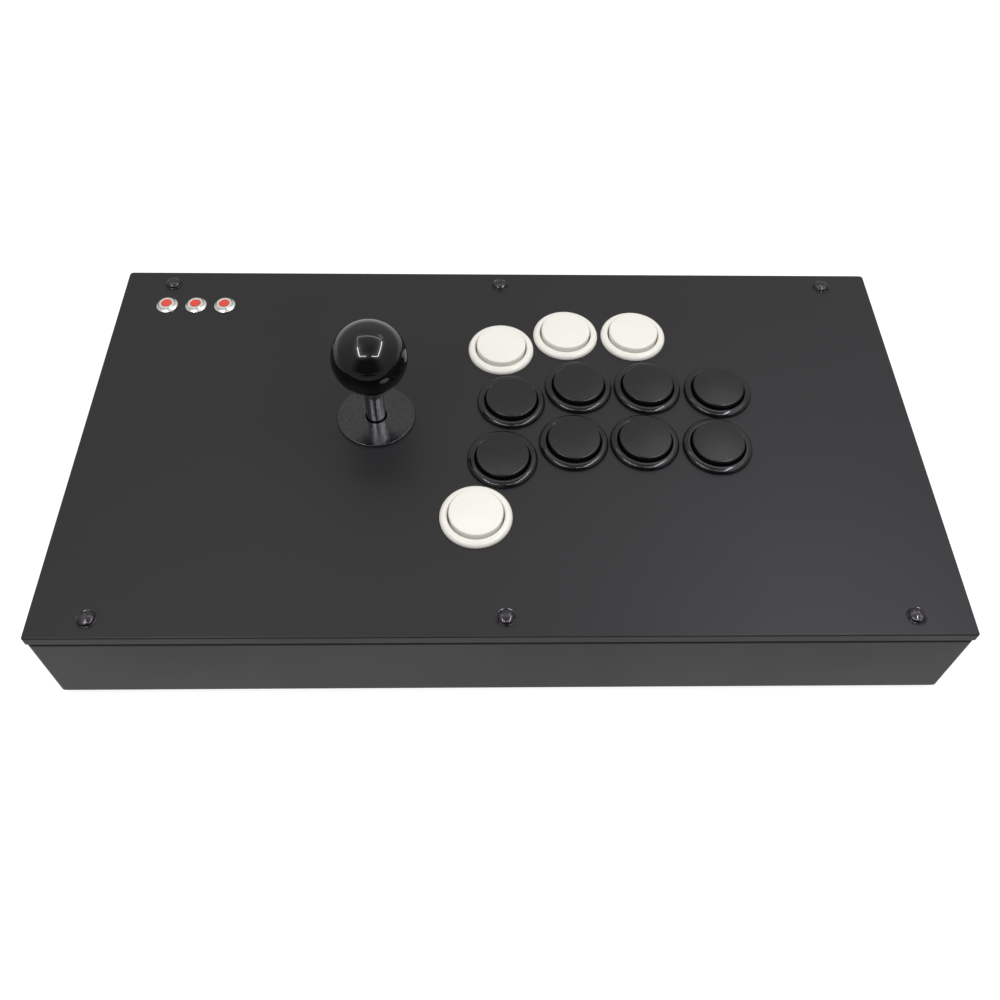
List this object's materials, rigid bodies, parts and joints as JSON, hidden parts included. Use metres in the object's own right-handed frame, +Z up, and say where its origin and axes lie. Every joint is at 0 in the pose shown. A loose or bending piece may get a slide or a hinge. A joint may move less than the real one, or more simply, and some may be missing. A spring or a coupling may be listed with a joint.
{
  "type": "arcade joystick panel",
  "caption": "Low black sheet-metal control box with a ball-top lever, a curved field of round push buttons in black and white, and small metal menu buttons.",
  "frame": {"origin": "centre of the footprint, on the plane the rubber feet stand on", "axes": "+X to the player's right along the long side, +Y away from the player, +Z up out of the panel"},
  "size_m": [0.4012, 0.2186, 0.1161],
  "materials": {
    "panel_paint": "fine matte black powder coat",
    "tray_paint": "fine matte black powder coat",
    "zinc_steel": "zinc-plated sheet steel",
    "black_screw": "black oxide",
    "shaft_steel": "polished steel",
    "rubber": "moulded rubber",
    "black_gloss": "polished moulding",
    "black_satin": "satin moulding",
    "white_gloss": "polished ivory white moulding",
    "black_matte": "fine grained moulding",
    "menu_metal": "bright turned metal",
    "red_plastic": "satin red moulding",
    "brass": "stamped brass",
    "board_green": "solder mask",
    "chip_black": "moulded chip packages",
    "header_white": "natural nylon",
    "switch_black": "switch case",
    "wire_red": "wire insulation",
    "wire_black": "wire insulation",
    "usb_metal": "plated shell"
  },
  "bodies": {
    "case": {"top_panel": "panel_paint", "base_tray": "tray_paint", "panel_rails": "tray_paint", "panel_screws": "black_screw", "panel_clinch_nuts": "zinc_steel", "panel_weld_studs": "zinc_steel", "hex_nuts": "zinc_steel", "rubber_feet": "rubber", "foot_screws": "zinc_steel", "black_button_housings": "black_gloss", "white_button_housings": "white_gloss", "button_switches": "switch_black", "switch_terminals": "brass", "menu_button_barrels": "menu_metal", "menu_button_nuts": "zinc_steel", "joystick_mounting_plate": "zinc_steel", "joystick_housing_screws": "zinc_steel", "joystick_housing": "black_matte", "joystick_switch_board": "board_green", "restrictor_gate": "black_matte", "joystick_switches": "switch_black", "board_headers": "header_white", "encoder_board": "board_green", "encoder_chips": "chip_black", "encoder_standoffs": "zinc_steel", "encoder_screws": "zinc_steel", "usb_socket": "usb_metal", "signal_loom": "wire_red", "ground_loom": "wire_black", "menu_wires": "wire_red", "joystick_cable": "wire_black", "usb_cable": "wire_black"},
    "lever_heading": {"centering_spring": "zinc_steel"},
    "lever": {"lever_shaft": "shaft_steel", "ball_top": "black_gloss", "shaft_cover": "black_gloss", "lever_pivot": "black_matte", "lever_actuator": "black_matte", "lever_e_clip": "zinc_steel"},
    "washer": {"dust_washer": "black_satin"},
    "black_button_1": {"black_button_cap_1": "black_gloss"},
    "black_button_2": {"black_button_cap_2": "black_gloss"},
    "black_button_3": {"black_button_cap_3": "black_gloss"},
    "black_button_4": {"black_button_cap_4": "black_gloss"},
    "black_button_5": {"black_button_cap_5": "black_gloss"},
    "black_button_6": {"black_button_cap_6": "black_gloss"},
    "black_button_7": {"black_button_cap_7": "black_gloss"},
    "black_button_8": {"black_button_cap_8": "black_gloss"},
    "white_button_1": {"white_button_cap_1": "white_gloss"},
    "white_button_2": {"white_button_cap_2": "white_gloss"},
    "white_button_3": {"white_button_cap_3": "white_gloss"},
    "white_button_4": {"white_button_cap_4": "white_gloss"},
    "menu_button_1": {"menu_button_plunger_1": "red_plastic"},
    "menu_button_2": {"menu_button_plunger_2": "red_plastic"},
    "menu_button_3": {"menu_button_plunger_3": "red_plastic"},
    "switch_pin_right_body": {"switch_pin_right": "zinc_steel"},
    "switch_pin_back_body": {"switch_pin_back": "zinc_steel"},
    "switch_pin_left_body": {"switch_pin_left": "zinc_steel"},
    "switch_pin_front_body": {"switch_pin_front": "zinc_steel"}
  },
  "joints": [
    {"name": "lever_heading_turn", "type": "hinge", "parent": "case", "child": "lever_heading", "pos_m": [-0.0612, 0.0086, 0.041], "axis": [0, 0, 1], "continuous": true},
    {"name": "lever_tilt", "type": "hinge", "parent": "lever_heading", "child": "lever", "pos_m": [-0.0612, 0.0086, 0.041], "axis": [0, 1, 0], "range_deg": [-10, 10], "stiffness_Nm_per_rad": 0.45, "deforming": ["centering_spring"]},
    {"name": "washer_slide", "type": "slide", "parent": "lever_heading", "child": "washer", "axis": [1, 0, 0], "range_m": [-0.0028, 0.0028]},
    {"name": "black_button_1_press", "type": "slide", "parent": "case", "child": "black_button_1", "axis": [0, 0, -1], "range_m": [0, 0.0035], "stiffness_N_per_m": 150, "springref_m": -0.004},
    {"name": "black_button_2_press", "type": "slide", "parent": "case", "child": "black_button_2", "axis": [0, 0, -1], "range_m": [0, 0.0035], "stiffness_N_per_m": 150, "springref_m": -0.004},
    {"name": "black_button_3_press", "type": "slide", "parent": "case", "child": "black_button_3", "axis": [0, 0, -1], "range_m": [0, 0.0035], "stiffness_N_per_m": 150, "springref_m": -0.004},
    {"name": "black_button_4_press", "type": "slide", "parent": "case", "child": "black_button_4", "axis": [0, 0, -1], "range_m": [0, 0.0035], "stiffness_N_per_m": 150, "springref_m": -0.004},
    {"name": "black_button_5_press", "type": "slide", "parent": "case", "child": "black_button_5", "axis": [0, 0, -1], "range_m": [0, 0.0035], "stiffness_N_per_m": 150, "springref_m": -0.004},
    {"name": "black_button_6_press", "type": "slide", "parent": "case", "child": "black_button_6", "axis": [0, 0, -1], "range_m": [0, 0.0035], "stiffness_N_per_m": 150, "springref_m": -0.004},
    {"name": "black_button_7_press", "type": "slide", "parent": "case", "child": "black_button_7", "axis": [0, 0, -1], "range_m": [0, 0.0035], "stiffness_N_per_m": 150, "springref_m": -0.004},
    {"name": "black_button_8_press", "type": "slide", "parent": "case", "child": "black_button_8", "axis": [0, 0, -1], "range_m": [0, 0.0035], "stiffness_N_per_m": 150, "springref_m": -0.004},
    {"name": "white_button_1_press", "type": "slide", "parent": "case", "child": "white_button_1", "axis": [0, 0, -1], "range_m": [0, 0.0035], "stiffness_N_per_m": 150, "springref_m": -0.004},
    {"name": "white_button_2_press", "type": "slide", "parent": "case", "child": "white_button_2", "axis": [0, 0, -1], "range_m": [0, 0.0035], "stiffness_N_per_m": 150, "springref_m": -0.004},
    {"name": "white_button_3_press", "type": "slide", "parent": "case", "child": "white_button_3", "axis": [0, 0, -1], "range_m": [0, 0.0035], "stiffness_N_per_m": 150, "springref_m": -0.004},
    {"name": "white_button_4_press", "type": "slide", "parent": "case", "child": "white_button_4", "axis": [0, 0, -1], "range_m": [0, 0.0035], "stiffness_N_per_m": 150, "springref_m": -0.004},
    {"name": "menu_button_1_press", "type": "slide", "parent": "case", "child": "menu_button_1", "axis": [0, 0, -1], "range_m": [0, 0.0012], "stiffness_N_per_m": 60, "springref_m": -0.006},
    {"name": "menu_button_2_press", "type": "slide", "parent": "case", "child": "menu_button_2", "axis": [0, 0, -1], "range_m": [0, 0.0012], "stiffness_N_per_m": 60, "springref_m": -0.006},
    {"name": "menu_button_3_press", "type": "slide", "parent": "case", "child": "menu_button_3", "axis": [0, 0, -1], "range_m": [0, 0.0012], "stiffness_N_per_m": 60, "springref_m": -0.006},
    {"name": "switch_pin_right_press", "type": "slide", "parent": "case", "child": "switch_pin_right_body", "axis": [1, 0, 0], "range_m": [0, 0.001], "stiffness_N_per_m": 20, "springref_m": -0.02},
    {"name": "switch_pin_back_press", "type": "slide", "parent": "case", "child": "switch_pin_back_body", "axis": [0, 1, 0], "range_m": [0, 0.001], "stiffness_N_per_m": 20, "springref_m": -0.02},
    {"name": "switch_pin_left_press", "type": "slide", "parent": "case", "child": "switch_pin_left_body", "axis": [-1, 0, 0], "range_m": [0, 0.001], "stiffness_N_per_m": 20, "springref_m": -0.02},
    {"name": "switch_pin_front_press", "type": "slide", "parent": "case", "child": "switch_pin_front_body", "axis": [0, -1, 0], "range_m": [0, 0.001], "stiffness_N_per_m": 20, "springref_m": -0.02}
  ],
  "couplings": [
    {"joint": "washer_slide", "follows": "lever_tilt", "m_per_rad": 0.01565}
  ]
}
